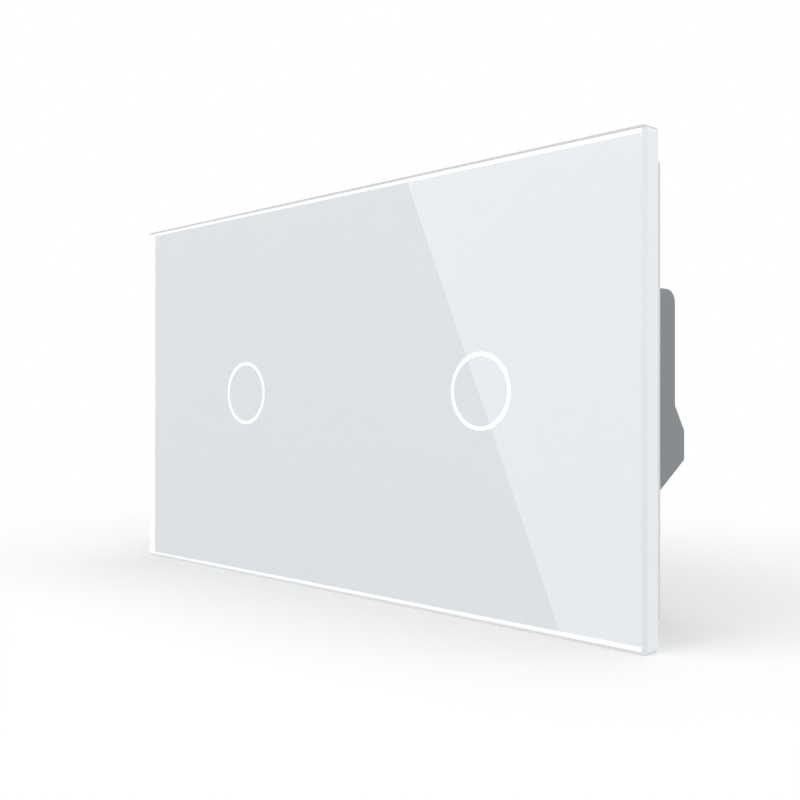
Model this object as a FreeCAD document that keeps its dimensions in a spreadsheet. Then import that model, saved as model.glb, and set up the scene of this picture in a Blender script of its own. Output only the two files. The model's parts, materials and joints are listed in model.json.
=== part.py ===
import FreeCAD, Part
import math
import os
import re
import Sketcher

# Two-gang touch dimmer switch, in millimetres.
# X runs along the panel, to the right as seen from the front. Y runs into the wall. Z is up.
# The origin is on the wall plane, midway between the two gangs.
# The glass panel stands in front of the wall (negative Y), the two inserts reach into the wall boxes.

# Driving sizes
SIZES = (
    # Glass panel and its printed back
    ("panel_edge", 3.0),
    ("panel_height", 83.0),
    ("panel_depth", 10.0),
    ("glass_thick", 4.0),
    ("corner_round", 1.2),
    ("edge_bevel", 0.6),
    ("back_arris", 0.25),
    ("print_thick", 0.15),
    ("print_inset", 0.7),
    ("ring_radius", 6.8),
    ("ring_line", 0.9),
    ("ring_shift", 2.1),
    ("ring_apart", 0.37),
    ("ring_gap", 0.03),
    # Carrier frame glued behind the glass
    ("gang_pitch", 71.0),
    ("frame_inset", 3.5),
    ("frame_wall", 1.4),
    ("frame_round", 0.9),
    ("web_thick", 1.5),
    ("window_clear", 1.3),
    ("rib_thick", 1.4),
    ("pry_width", 9.0),
    ("pry_height", 1.6),
    ("stud_side", 4.6),
    ("stud_radius", 1.5),
    ("stud_clear", 0.05),
    ("stud_length", 2.9),
    ("socket_depth", 2.7),
    # Steel mounting plate
    ("plate_thick", 1.0),
    ("plate_side", 0.4),
    ("plate_end", 1.6),
    ("plate_corner", 5.0),
    ("window_lip", 0.7),
    ("slot_spacing", 60.0),
    ("slot_width", 3.4),
    ("slot_length", 4.2),
    # Front cover of an insert
    ("cover_gap", 0.4),
    ("cover_side", 0.2),
    ("cover_round", 3.0),
    ("cover_wall", 1.2),
    ("flange_edge", 5.1),
    ("flange_thick", 3.0),
    ("flange_corner", 2.0),
    ("head_notch", 5.2),
    ("post_inset", 2.4),
    ("post_radius", 1.2),
    ("screw_edge", 1.0),
    ("screw_rise", 13.0),
    ("screw_radius", 1.2),
    ("screw_clear", 0.2),
    ("screw_reach", 9.0),
    ("screw_slot", 0.6),
    ("head_radius", 2.2),
    ("head_thick", 1.4),
    ("head_sink", 1.6),
    # Touch sensing parts
    ("guide_radius", 7.7),
    ("guide_clear", 0.05),
    ("guide_rim", 1.2),
    ("guide_rim_thick", 0.6),
    ("pad_radius", 5.4),
    ("pad_thick", 0.3),
    ("pad_clear", 0.1),
    ("stem_radius", 0.8),
    ("board_clear", 0.4),
    ("board_thick", 1.0),
    ("sensor_gap", 1.35),
    ("led_long", 1.6),
    ("led_wide", 0.8),
    ("led_thick", 0.65),
    ("chip_size", 5.0),
    ("chip_thick", 0.7),
    # Rear housing of an insert
    ("housing_width", 50.0),
    ("housing_top", 19.0),
    ("housing_bottom", 19.0),
    ("housing_depth", 21.85),
    ("housing_wall", 1.6),
    ("housing_round", 2.5),
    ("edge_round", 0.8),
    ("bulge_depth", 25.1),
    ("bulge_start", 2.5),
    ("bulge_shoulder", 7.2),
    ("bulge_foot", 13.0),
    ("foot_start", 15.6),
    ("boss_radius", 2.35),
    ("boss_length", 11.0),
    ("rail_width", 4.0),
    ("rail_height", 8.0),
    ("rail_length", 3.0),
    # Power electronics
    ("power_clear", 0.55),
    ("power_thick", 1.6),
    ("power_front", 4.0),
    ("header_width", 10.0),
    ("header_thick", 2.5),
    ("header_edge", 3.9),
    ("choke_radius", 6.4),
    ("choke_core", 3.0),
    ("choke_height", 11.0),
    ("choke_rim", 1.4),
    ("choke_side", 11.5),
    ("choke_rise", 8.0),
    ("cap_width", 13.0),
    ("cap_thick", 5.0),
    ("cap_height", 9.5),
    ("cap_side", 9.0),
    ("cap_rise", 13.7),
    ("sink_width", 19.0),
    ("sink_thick", 1.2),
    ("sink_clear", 1.3),
    ("sink_fold", 6.5),
    ("sink_side", 9.0),
    ("sink_rise", 1.0),
    ("fet_width", 8.0),
    ("fet_thick", 2.4),
    ("fet_height", 7.0),
    ("fet_pitch", 9.0),
    ("fet_lead", 1.8),
    ("fet_lead_width", 0.7),
    ("fuse_radius", 2.2),
    ("fuse_height", 8.0),
    ("fuse_side", 3.4),
    ("fuse_rise", 0.0),
    # Rising cage terminals
    ("terminal_pitch", 9.0),
    ("terminal_depth", 11.5),
    ("block_width", 28.0),
    ("block_top", 6.2),
    ("block_clear", 0.3),
    ("wire_radius", 1.8),
    ("wire_level", 10.0),
    ("throat_radius", 2.0),
    ("access_radius", 2.6),
    ("bar_width", 3.6),
    ("bar_thick", 1.0),
    ("bar_end", 14.2),
    ("bar_tail", 1.4),
    ("bar_clear", 0.15),
    ("cage_width", 5.6),
    ("cage_depth", 5.8),
    ("cage_side", 0.7),
    ("cage_top", 0.8),
    ("cage_base", 1.4),
    ("cage_clear", 0.3),
    ("cage_travel", 2.0),
    ("thread_radius", 1.5),
    ("thread_clear", 0.05),
    ("tip_gap", 0.05),
    ("tip_radius", 1.0),
    ("tip_taper", 0.5),
    ("clamp_head_radius", 2.3),
    ("clamp_head_thick", 1.8),
    ("clamp_slot", 0.8),
    ("clamp_slot_depth", 0.9),
)

TERMINALS = 3
LEDS = 4
SIDES = (("left", -1), ("right", 1))

# Sizes that follow from the driving ones
PANEL_WIDTH = "(2 * gang_pitch + 2 * panel_edge)"
FRAME_WIDTH = "(2 * gang_pitch + 2 * panel_edge - 2 * frame_inset)"
FRAME_HEIGHT = "(panel_height - 2 * frame_inset)"
PLATE_WIDTH = "(gang_pitch + 2 * panel_edge - 2 * frame_inset - 2 * frame_wall - 2 * plate_side)"
PLATE_HEIGHT = "(panel_height - 2 * frame_inset - 2 * frame_wall - 2 * plate_end)"
SCREW_SPREAD = "(housing_width / 2 - housing_wall - screw_edge)"
COVER_SIZE = "(housing_width - 2 * housing_wall - 2 * screw_edge - 2 * head_radius - 2 * cover_side)"
FLANGE_SIZE = "(housing_width - 2 * housing_wall - 2 * screw_edge + 2 * flange_edge)"
PLATE_WINDOW = "(%s - 2 * window_lip)" % COVER_SIZE
POST_SPREAD = "(%s / 2 - cover_wall - post_inset)" % COVER_SIZE
STUD_SPREAD = "(%s / 2 + stud_side)" % COVER_SIZE
POWER_WIDTH = "(2 * %s - 2 * boss_radius - 2 * power_clear)" % SCREW_SPREAD
POWER_HEIGHT = "(housing_top + housing_bottom - 2 * housing_wall - 2 * board_clear)"

# Levels along Y, written from the driving sizes
GLASS_FRONT = "(-panel_depth)"
GLASS_BACK = "(glass_thick - panel_depth)"
PRINT_BACK = "(glass_thick + print_thick - panel_depth)"
WEB_BACK = "(glass_thick + print_thick + web_thick - panel_depth)"
COVER_FRONT = "(glass_thick + print_thick + cover_gap - panel_depth)"
CEILING = "(glass_thick + print_thick + cover_gap + cover_wall - panel_depth)"
FLANGE_FRONT = "(-plate_thick - flange_thick)"
SENSOR_FRONT = "(glass_thick + print_thick + cover_gap + cover_wall + sensor_gap - panel_depth)"
SENSOR_BACK = "(%s + board_thick)" % SENSOR_FRONT
HEAD_SEAT = "(-plate_thick - flange_thick + head_sink)"
POWER_BACK = "(power_front + power_thick)"
SINK_DEPTH = "(housing_depth - housing_wall - power_front - power_thick - sink_clear)"

# Levels along Z inside a terminal
BAR_TOP = "(-wire_level - wire_radius)"
BAR_BASE = "(-wire_level - wire_radius - bar_thick)"
TIP = "(-wire_level - wire_radius - bar_thick - tip_gap)"
CAGE_ROOF = "(-wire_level + wire_radius)"
CAGE_FLOOR = "(-wire_level - wire_radius - bar_thick - 2 * tip_gap)"
CAGE_BOTTOM = "(-wire_level - wire_radius - bar_thick - 2 * tip_gap - cage_base)"
CLAMP_HEAD = "(-wire_level - wire_radius - bar_thick - 4 * tip_gap - cage_base - cage_travel)"

doc = FreeCAD.newDocument("TouchDimmer")
sheet = doc.addObject("Spreadsheet::Sheet", "Sizes")
for row, (alias, number) in enumerate(SIZES, start=1):
    sheet.set("A%d" % row, alias)
    sheet.set("B%d" % row, str(number))
    sheet.setAlias("B%d" % row, alias)
doc.recompute()

ALIASES = {alias for alias, _ in SIZES}
pieces = []


# Writing and reading expressions
def bound(text):
    return re.sub(r"[a-z_]+", lambda word: "Sizes." + word[0] if word[0] in ALIASES else word[0], text)


def number(text):
    return float(sheet.evalExpression(bound(text)))


def bind(item, **sizes):
    for name, text in sizes.items():
        item.setExpression(name, bound(text))


def place(item, x="0", y="0", z="0"):
    item.setExpression(".Placement.Base.x", bound(x))
    item.setExpression(".Placement.Base.y", bound(y))
    item.setExpression(".Placement.Base.z", bound(z))
    return item


def keep(item, label):
    item.Label = label
    pieces.append(item)
    return item


def gang(sign):
    return "(%d * gang_pitch / 2)" % sign


def ring_offset(sign):
    return "(ring_shift + %d * ring_apart)" % sign


# Bodies, sketches and their features
def new_body(label, x="0", y="0", z="0"):
    return place(doc.addObject("PartDesign::Body", label), x, y, z)


def new_sketch(body, name, plane, offset="0"):
    sketch = body.newObject("Sketcher::SketchObject", name)
    support = next(item for item in body.Origin.OriginFeatures if item.Role == plane)
    sketch.AttachmentSupport = [(support, "")]
    sketch.MapMode = "FlatFace"
    sketch.setExpression(".AttachmentOffset.Base.z", bound(offset))
    return sketch


def front_sketch(body, name, level):
    # Sketch X is X and sketch Y is Z, on the plane Y = level
    return new_sketch(body, name, "XZ_Plane", "-(%s)" % level)


def side_sketch(body, name):
    # Sketch X is Y and sketch Y is Z, on the plane X = 0
    return new_sketch(body, name, "YZ_Plane")


def pin_point(sketch, geometry, point, x, y):
    for kind, text in (("DistanceX", x), ("DistanceY", y)):
        rule = sketch.addConstraint(Sketcher.Constraint(kind, -1, 1, geometry, point, number(text)))
        sketch.setExpression("Constraints[%d]" % rule, bound(text))


def draw_polygon(sketch, points):
    first = sketch.GeometryCount
    count = len(points)
    corners = [FreeCAD.Vector(number(x), number(y), 0) for x, y in points]
    for index in range(count):
        edge = Part.LineSegment(corners[index], corners[(index + 1) % count])
        sketch.addGeometry(edge, False)
    for index in range(count):
        after = first + (index + 1) % count
        sketch.addConstraint(Sketcher.Constraint("Coincident", first + index, 2, after, 1))
    for index, (x, y) in enumerate(points):
        pin_point(sketch, first + index, 1, x, y)


def draw_rectangle(sketch, x, y, width, height):
    left, right = "%s - (%s) / 2" % (x, width), "%s + (%s) / 2" % (x, width)
    low, high = "%s - (%s) / 2" % (y, height), "%s + (%s) / 2" % (y, height)
    draw_polygon(sketch, ((left, low), (right, low), (right, high), (left, high)))


def draw_circle(sketch, x, y, radius):
    centre = FreeCAD.Vector(number(x), number(y), 0)
    circle = sketch.addGeometry(Part.Circle(centre, FreeCAD.Vector(0, 0, 1), number(radius)), False)
    pin_point(sketch, circle, 3, x, y)
    rule = sketch.addConstraint(Sketcher.Constraint("Radius", circle, number(radius)))
    sketch.setExpression("Constraints[%d]" % rule, bound(radius))


def draw_slot(sketch, x, y, length, width, upright=False):
    half, turn = "((%s) - (%s)) / 2" % (length, width), 90 if upright else 0
    radius = number(width) / 2
    ends = []
    for sign in (-1, 1):
        along = "%s %s %s" % (y if upright else x, "+" if sign > 0 else "-", half)
        centre = (x, along) if upright else (along, y)
        middle = FreeCAD.Vector(number(centre[0]), number(centre[1]), 0)
        start = math.radians(turn - 90 if sign > 0 else turn + 90)
        arc = Part.ArcOfCircle(Part.Circle(middle, FreeCAD.Vector(0, 0, 1), radius), start, start + math.pi)
        ends.append((sketch.addGeometry(arc, False), centre, arc))
    (tail, tail_centre, tail_arc), (nose, nose_centre, nose_arc) = ends
    upper = sketch.addGeometry(Part.LineSegment(nose_arc.EndPoint, tail_arc.StartPoint), False)
    lower = sketch.addGeometry(Part.LineSegment(tail_arc.EndPoint, nose_arc.StartPoint), False)
    for first, second in (((nose, 2), (upper, 1)), ((upper, 2), (tail, 1)),
                          ((tail, 2), (lower, 1)), ((lower, 2), (nose, 1))):
        sketch.addConstraint(Sketcher.Constraint("Tangent", *first, *second))
    sketch.addConstraint(Sketcher.Constraint("Equal", tail, nose))
    rule = sketch.addConstraint(Sketcher.Constraint("Radius", tail, radius))
    sketch.setExpression("Constraints[%d]" % rule, bound("(%s) / 2" % width))
    pin_point(sketch, tail, 3, *tail_centre)
    pin_point(sketch, nose, 3, *nose_centre)


def add_feature(body, kind, name, sketch, length, reverse=False, both=False):
    feature = body.newObject("PartDesign::" + kind, name)
    feature.Profile = sketch
    if both:
        feature.SideType = "Symmetric"
    feature.Reversed = reverse
    feature.setExpression("Length", bound(length))
    return feature


def pad(body, name, sketch, length, **way):
    return add_feature(body, "Pad", name, sketch, length, **way)


def pocket(body, name, sketch, length, **way):
    return add_feature(body, "Pocket", name, sketch, length, **way)


def revolve(body, name, sketch, axis):
    feature = body.newObject("PartDesign::Revolution", name)
    feature.Profile = sketch
    feature.ReferenceAxis = (sketch, [axis])
    feature.Angle = 360
    return feature


def edges_where(feature, test):
    doc.recompute()
    return ["Edge%d" % (index + 1) for index, edge in enumerate(feature.Shape.Edges) if test(edge)]


def runs_along(edge, axis):
    line = edge.Curve
    return isinstance(line, Part.Line) and abs(getattr(line.Direction, axis)) > 0.999


def dress(body, kind, name, feature, test, **sizes):
    item = body.newObject("PartDesign::" + kind, name)
    item.Base = (feature, edges_where(feature, test))
    bind(item, **sizes)
    return item


# Plain primitives for boards and board-mounted parts
def new_box(name, x, y, z, width, depth, height):
    # x is the centre, y the front face, z the centre
    box = doc.addObject("Part::Box", name)
    bind(box, Length=width, Width=depth, Height=height)
    return place(box, "%s - (%s) / 2" % (x, width), y, "%s - (%s) / 2" % (z, height))


def new_cylinder(name, x, y, z, radius, length):
    # The axis runs along +Y from the given point
    cylinder = doc.addObject("Part::Cylinder", name)
    bind(cylinder, Radius=radius, Height=length)
    cylinder.Placement.Rotation = FreeCAD.Rotation(FreeCAD.Vector(1, 0, 0), -90)
    return place(cylinder, x, y, z)


def cut(name, base, tool):
    item = doc.addObject("Part::Cut", name)
    item.Base = base
    item.Tool = tool
    return item


def fuse(name, items):
    item = doc.addObject("Part::MultiFuse", name)
    item.Shapes = items
    return item


def group(name, items):
    item = doc.addObject("Part::Compound", name)
    item.Links = items
    return item


# Clear glass plate with a small bevel round its front edges
def make_glass_panel():
    body = new_body("glass_panel")
    outline = front_sketch(body, "glass_outline", GLASS_BACK)
    draw_rectangle(outline, "0", "0", PANEL_WIDTH, "panel_height")
    plate = pad(body, "glass_plate", outline, "glass_thick")
    rounded = dress(body, "Fillet", "glass_corners", plate, lambda edge: runs_along(edge, "y"),
                    Radius="corner_round")
    front, back = number(GLASS_FRONT), number(GLASS_BACK)

    def on_face(level):
        return lambda edge: all(abs(corner.Y - level) < 1e-6 for corner in edge.Vertexes)

    bevelled = dress(body, "Chamfer", "glass_bevel", rounded, on_face(front), Size="edge_bevel")
    dress(body, "Chamfer", "glass_arris", bevelled, on_face(back), Size="back_arris")
    keep(body, "glass_panel")


# White enamel behind the glass, with a ring left out of it in front of each gang
def ring_band(name, sign, inner, outer):
    x = "%s + %s" % (gang(sign), ring_offset(sign))
    disc = new_cylinder(name + "_disc", x, GLASS_BACK, "0", outer, "print_thick")
    hole = new_cylinder(name + "_hole", x, GLASS_BACK, "0", inner, "print_thick")
    return cut(name, disc, hole)


def make_back_print():
    sheet_box = new_box("print_sheet", "0", GLASS_BACK, "0", PANEL_WIDTH + " - 2 * print_inset",
                        "print_thick", "panel_height - 2 * print_inset")
    rings = [ring_band("print_ring_" + side, sign, "ring_radius - ring_line / 2",
                       "ring_radius + ring_line / 2") for side, sign in SIDES]
    keep(cut("back_print", sheet_box, fuse("print_rings", rings)), "back_print")


def make_touch_rings():
    rings = [ring_band("touch_ring_" + side, sign, "ring_radius - ring_line / 2 + ring_gap",
                       "ring_radius + ring_line / 2 - ring_gap") for side, sign in SIDES]
    keep(group("touch_rings", rings), "touch_rings")


# Moulded carrier: skirt to the wall, web behind the glass, windows, middle rib and press studs
def make_panel_frame():
    body = new_body("panel_frame")
    outline = front_sketch(body, "frame_outline", "0")
    draw_rectangle(outline, "0", "0", FRAME_WIDTH, FRAME_HEIGHT)
    block = pad(body, "frame_block", outline, "-(%s)" % PRINT_BACK)
    dress(body, "Fillet", "frame_corners", block, lambda edge: runs_along(edge, "y"), Radius="frame_round")
    hollow = front_sketch(body, "frame_hollow", "0")
    for sign in (-1, 1):
        inner = "(%s / 2 - frame_wall - rib_thick / 2)" % FRAME_WIDTH
        middle = "%d * (rib_thick + %s) / 2" % (sign, inner)
        draw_rectangle(hollow, middle, "0", inner, FRAME_HEIGHT + " - 2 * frame_wall")
    pocket(body, "frame_room", hollow, "-(%s)" % WEB_BACK, reverse=True)
    windows = front_sketch(body, "frame_windows", WEB_BACK)
    for sign in (-1, 1):
        opening = COVER_SIZE + " + 2 * window_clear"
        draw_rectangle(windows, gang(sign), "0", opening, opening)
    pocket(body, "frame_cut", windows, "web_thick", reverse=True)
    studs = front_sketch(body, "frame_studs", WEB_BACK)
    for sign in (-1, 1):
        for across in ("-", "+"):
            for up in ("-", ""):
                x = "%s %s %s" % (gang(sign), across, STUD_SPREAD)
                draw_circle(studs, x, up + STUD_SPREAD, "stud_radius")
    pad(body, "frame_stud_set", studs, "stud_length", reverse=True)
    notch = front_sketch(body, "frame_notch", "0")
    for sign in (-1, 1):
        draw_rectangle(notch, gang(sign), "(frame_wall - %s) / 2" % FRAME_HEIGHT, "pry_width",
                       "1.5 * frame_wall")
    pocket(body, "frame_pry", notch, "pry_height", reverse=True)
    keep(body, "panel_frame")


# Steel plate that screws over one wall box
def make_mounting_plate(side, sign):
    body = new_body("mounting_plate_" + side, gang(sign))
    outline = front_sketch(body, "plate_outline_" + side, "0")
    draw_rectangle(outline, "0", "0", PLATE_WIDTH, PLATE_HEIGHT)
    sheet_pad = pad(body, "plate_sheet_" + side, outline, "plate_thick")
    dress(body, "Chamfer", "plate_corners_" + side, sheet_pad, lambda edge: runs_along(edge, "y"),
          Size="plate_corner")
    window = front_sketch(body, "plate_window_" + side, "0")
    draw_rectangle(window, "0", "0", PLATE_WINDOW, PLATE_WINDOW)
    pocket(body, "plate_opening_" + side, window, "plate_thick", reverse=True)
    holes = front_sketch(body, "plate_holes_" + side, "0")
    for way in ("-", ""):
        draw_slot(holes, way + "slot_spacing / 2", "0", "slot_length", "slot_width")
        draw_slot(holes, "0", way + "slot_spacing / 2", "slot_length", "slot_width", upright=True)
        for up in ("-screw_rise", "screw_rise"):
            draw_circle(holes, way + SCREW_SPREAD, up, "screw_radius + screw_clear")
    pocket(body, "plate_slots_" + side, holes, "plate_thick", reverse=True)
    keep(body, "mounting_plate_" + side)


# Plastic front cover: raised square that meets the back of the glass, flange with stud sockets
def make_front_cover(side, sign):
    body = new_body("front_cover_" + side, gang(sign))
    base = front_sketch(body, "cover_base_" + side, "-plate_thick")
    draw_rectangle(base, "0", "0", FLANGE_SIZE, FLANGE_SIZE)
    flange = pad(body, "cover_flange_" + side, base, "flange_thick")
    dress(body, "Chamfer", "flange_corners_" + side, flange, lambda edge: runs_along(edge, "y"),
          Size="flange_corner")
    raised = front_sketch(body, "cover_raised_" + side, FLANGE_FRONT)
    draw_rectangle(raised, "0", "0", COVER_SIZE, COVER_SIZE)
    boss = pad(body, "cover_boss_" + side, raised, "%s - %s" % (FLANGE_FRONT, COVER_FRONT))
    level = number(FLANGE_FRONT)
    dress(body, "Fillet", "cover_corners_" + side, boss,
          lambda edge: runs_along(edge, "y") and min(v.Y for v in edge.Vertexes) < level - 0.1,
          Radius="cover_round")
    room = front_sketch(body, "cover_room_" + side, "-plate_thick")
    inside = COVER_SIZE + " - 2 * cover_wall"
    draw_rectangle(room, "0", "0", inside, inside)
    pocket(body, "cover_cavity_" + side, room, "-plate_thick - %s" % CEILING, reverse=True)
    posts = front_sketch(body, "cover_posts_" + side, CEILING)
    for way in ("-", ""):
        for up in ("-", ""):
            draw_circle(posts, way + POST_SPREAD, up + POST_SPREAD, "post_radius")
    pad(body, "cover_post_set_" + side, posts, "sensor_gap", reverse=True)
    lens = front_sketch(body, "cover_lens_" + side, COVER_FRONT)
    draw_circle(lens, ring_offset(sign), "0", "guide_radius + guide_clear")
    pocket(body, "cover_eye_" + side, lens, "cover_wall")
    notches = front_sketch(body, "cover_notches_" + side, FLANGE_FRONT)
    for x, z in (("-1", "0"), ("1", "0"), ("0", "-1"), ("0", "1")):
        draw_circle(notches, x + " * slot_spacing / 2", z + " * slot_spacing / 2", "head_notch")
    pocket(body, "cover_cuts_" + side, notches, "flange_thick")
    sockets = front_sketch(body, "cover_sockets_" + side, FLANGE_FRONT)
    sinks = front_sketch(body, "cover_sinks_" + side, FLANGE_FRONT)
    holes = front_sketch(body, "cover_holes_" + side, FLANGE_FRONT)
    for way in ("-", ""):
        for up in ("-", ""):
            draw_circle(sockets, way + STUD_SPREAD, up + STUD_SPREAD, "stud_radius + stud_clear")
            draw_circle(sinks, way + SCREW_SPREAD, up + "screw_rise", "head_radius + screw_clear / 2")
            draw_circle(holes, way + SCREW_SPREAD, up + "screw_rise", "screw_radius + screw_clear")
    pocket(body, "cover_stud_holes_" + side, sockets, "socket_depth")
    pocket(body, "cover_head_holes_" + side, sinks, "head_sink")
    pocket(body, "cover_screw_holes_" + side, holes, "flange_thick")
    keep(body, "front_cover_" + side)


# Clear light guide: a stepped disc behind the printed ring
def make_light_guide(side, sign):
    body = new_body("light_guide_" + side, "%s + %s" % (gang(sign), ring_offset(sign)))
    profile = side_sketch(body, "guide_profile_" + side)
    bore = "stem_radius + pad_clear"
    pan = "pad_radius + pad_clear"
    rear = "%s + guide_rim_thick" % CEILING
    draw_polygon(profile, (
        (rear, bore), (rear, "guide_radius + guide_rim"), (CEILING, "guide_radius + guide_rim"),
        (CEILING, "guide_radius"), (COVER_FRONT, "guide_radius"), (COVER_FRONT, pan),
        ("%s + pad_thick" % COVER_FRONT, pan), ("%s + pad_thick" % COVER_FRONT, bore)))
    revolve(body, "guide_body_" + side, profile, "H_Axis")
    keep(body, "light_guide_" + side)


# Sensor pad in the middle of the guide, with a stem to the sensor board
def make_touch_electrode(side, sign):
    body = new_body("touch_electrode_" + side, "%s + %s" % (gang(sign), ring_offset(sign)))
    profile = side_sketch(body, "pad_profile_" + side)
    shoulder = "%s + pad_thick" % COVER_FRONT
    draw_polygon(profile, (
        (COVER_FRONT, "0"), (SENSOR_FRONT, "0"), (SENSOR_FRONT, "stem_radius"),
        (shoulder, "stem_radius"), (shoulder, "pad_radius"), (COVER_FRONT, "pad_radius")))
    revolve(body, "pad_body_" + side, profile, "H_Axis")
    keep(body, "touch_electrode_" + side)


def make_touch_board(side, sign):
    width = COVER_SIZE + " - 2 * cover_wall - 2 * board_clear"
    item = new_box("touch_board_" + side, gang(sign), SENSOR_FRONT, "0", width, "board_thick", width)
    keep(item, "touch_board_" + side)


def make_indicator_leds(side, sign):
    lamps = []
    for index in range(LEDS):
        angle = 45 + 360 * index / LEDS
        x = "%s + %s + ring_radius * cos(%g deg)" % (gang(sign), ring_offset(sign), angle)
        z = "ring_radius * sin(%g deg)" % angle
        lamps.append(new_box("led_%s_%d" % (side, index + 1), x, "%s - led_thick" % SENSOR_FRONT, z,
                             "led_long", "led_thick", "led_wide"))
    keep(group("indicator_leds_" + side, lamps), "indicator_leds_" + side)


def make_touch_chips(side, sign):
    chips = []
    for index, (across, up, part) in enumerate(((-1.2, -0.6, 1.0), (1.0, -0.8, 0.7), (-1.4, 1.2, 0.5))):
        size = "%g * chip_size" % part
        chips.append(new_box("chip_%s_%d" % (side, index + 1), "%s + %g * chip_size" % (gang(sign), across),
                             SENSOR_BACK, "%g * chip_size" % up, size, "chip_thick", size))
    keep(group("touch_chips_" + side, chips), "touch_chips_" + side)


# Side profile of the housing, moved inwards by a wall or a clearance
def housing_profile(inset):
    run, rise = "(bulge_depth - housing_depth)", "(bulge_shoulder - bulge_start)"
    foot_run, foot_rise = "(bulge_depth - foot_start)", "(housing_bottom - bulge_foot)"
    slope = "sqrt(%s^2 + %s^2)" % (run, rise)
    foot_slope = "sqrt(%s^2 + %s^2)" % (foot_run, foot_rise)
    drop = "%s * (%s - %s) / %s" % (inset, slope, rise, run)
    lift = "%s * (%s - %s) / %s" % (inset, foot_slope, foot_rise, foot_run)
    back = "%s * (%s - %s) / %s" % (inset, foot_slope, foot_run, foot_rise)
    return {
        "roof": "housing_top - %s" % inset,
        "rear": "housing_depth - %s" % inset,
        "kink": "-bulge_start - %s" % drop,
        "bulge": "bulge_depth - %s" % inset,
        "shoulder": "-bulge_shoulder - %s" % drop,
        "foot": "-bulge_foot + %s" % lift,
        "turn": "foot_start - %s" % back,
        "floor": "-housing_bottom + %s" % inset,
        "slope": slope, "run": run, "rise": rise,
    }


def profile_points(face, edge):
    return ((face, edge["floor"]), (edge["turn"], edge["floor"]), (edge["bulge"], edge["foot"]),
            (edge["bulge"], edge["shoulder"]), (edge["rear"], edge["kink"]),
            (edge["rear"], edge["roof"]), (face, edge["roof"]))


def terminal_spots():
    middle = (TERMINALS - 1) / 2
    return ["%g * terminal_pitch" % (index - middle) for index in range(TERMINALS)]


# Rear housing: moulded shell with a terminal bulge, open towards the plate
def make_rear_housing(side, sign):
    body = new_body("rear_housing_" + side, gang(sign))
    shell = side_sketch(body, "housing_profile_" + side)
    draw_polygon(shell, profile_points("0", housing_profile("0")))
    block = pad(body, "housing_block_" + side, shell, "housing_width", both=True)
    depth, roof = number("housing_depth"), number("housing_top")
    half = number("housing_width") / 2
    top = dress(body, "Fillet", "housing_top_edge_" + side, block,
                lambda edge: runs_along(edge, "x") and all(
                    abs(v.Y - depth) < 1e-6 and abs(v.Z - roof) < 1e-6 for v in edge.Vertexes),
                Radius="housing_round")
    dress(body, "Fillet", "housing_side_edges_" + side, top,
          lambda edge: all(abs(abs(v.X) - half) < 1e-6 for v in edge.Vertexes)
          and max(v.Y for v in edge.Vertexes) > 1e-6,
          Radius="edge_round")
    room = side_sketch(body, "housing_room_" + side)
    draw_polygon(room, profile_points("-housing_wall", housing_profile("housing_wall")))
    pocket(body, "housing_hollow_" + side, room, "housing_width - 2 * housing_wall", both=True)
    bosses = front_sketch(body, "housing_bosses_" + side, "0")
    for way in ("-", ""):
        for z in ("-screw_rise", "screw_rise"):
            draw_circle(bosses, way + SCREW_SPREAD, z, "boss_radius")
    pad(body, "housing_boss_set_" + side, bosses, "boss_length", reverse=True)
    pilots = front_sketch(body, "housing_pilots_" + side, "0")
    for way in ("-", ""):
        for z in ("-screw_rise", "screw_rise"):
            draw_circle(pilots, way + SCREW_SPREAD, z, "screw_radius")
    pocket(body, "housing_pilot_set_" + side, pilots, "screw_reach + 1")
    rails = front_sketch(body, "housing_rails_" + side, POWER_BACK)
    for way in ("-", ""):
        x = "%s(housing_width / 2 - housing_wall / 2 - rail_width / 2)" % way
        draw_rectangle(rails, x, "0", "rail_width + housing_wall", "rail_height")
    pad(body, "housing_rail_set_" + side, rails, "rail_length", reverse=True)
    entries = front_sketch(body, "housing_entries_" + side, "bulge_depth")
    access = new_sketch(body, "housing_access_" + side, "XY_Plane", "-housing_bottom")
    for x in terminal_spots():
        draw_circle(entries, x, "-wire_level", "wire_radius")
        draw_circle(access, x, "terminal_depth", "access_radius")
    pocket(body, "housing_wire_holes_" + side, entries, "housing_wall", reverse=True)
    pocket(body, "housing_screw_holes_" + side, access, "housing_wall", reverse=True)
    keep(body, "rear_housing_" + side)


def make_power_board(side, sign):
    item = new_box("power_board_" + side, gang(sign), "power_front", "(housing_top - housing_bottom) / 2",
                   POWER_WIDTH, "power_thick", POWER_HEIGHT)
    keep(item, "power_board_" + side)


# Pin header between the two boards
def make_board_header(side, sign):
    rise = "housing_top - housing_wall - header_edge"
    item = new_box("board_header_" + side, gang(sign), SENSOR_BACK, rise,
                   "header_width", "power_front - %s" % SENSOR_BACK, "header_thick")
    keep(item, "board_header_" + side)


# Drum choke of the interference filter
def make_choke(side, sign):
    where = ("%s - choke_side" % gang(sign), POWER_BACK, "choke_rise")
    core = new_body("choke_core_" + side, *where)
    drum = side_sketch(core, "drum_profile_" + side)
    draw_polygon(drum, (
        ("0", "0"), ("choke_height", "0"), ("choke_height", "choke_radius"),
        ("choke_height - choke_rim", "choke_radius"), ("choke_height - choke_rim", "choke_core"),
        ("choke_rim", "choke_core"), ("choke_rim", "choke_radius"), ("0", "choke_radius")))
    revolve(core, "drum_body_" + side, drum, "H_Axis")
    keep(core, "choke_core_" + side)
    coil = new_body("choke_winding_" + side, *where)
    turns = side_sketch(coil, "winding_profile_" + side)
    draw_rectangle(turns, "choke_height / 2", "(choke_radius + choke_core) / 2",
                   "choke_height - 2 * choke_rim", "choke_radius - choke_core - edge_bevel")
    revolve(coil, "winding_body_" + side, turns, "H_Axis")
    keep(coil, "choke_winding_" + side)


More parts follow.
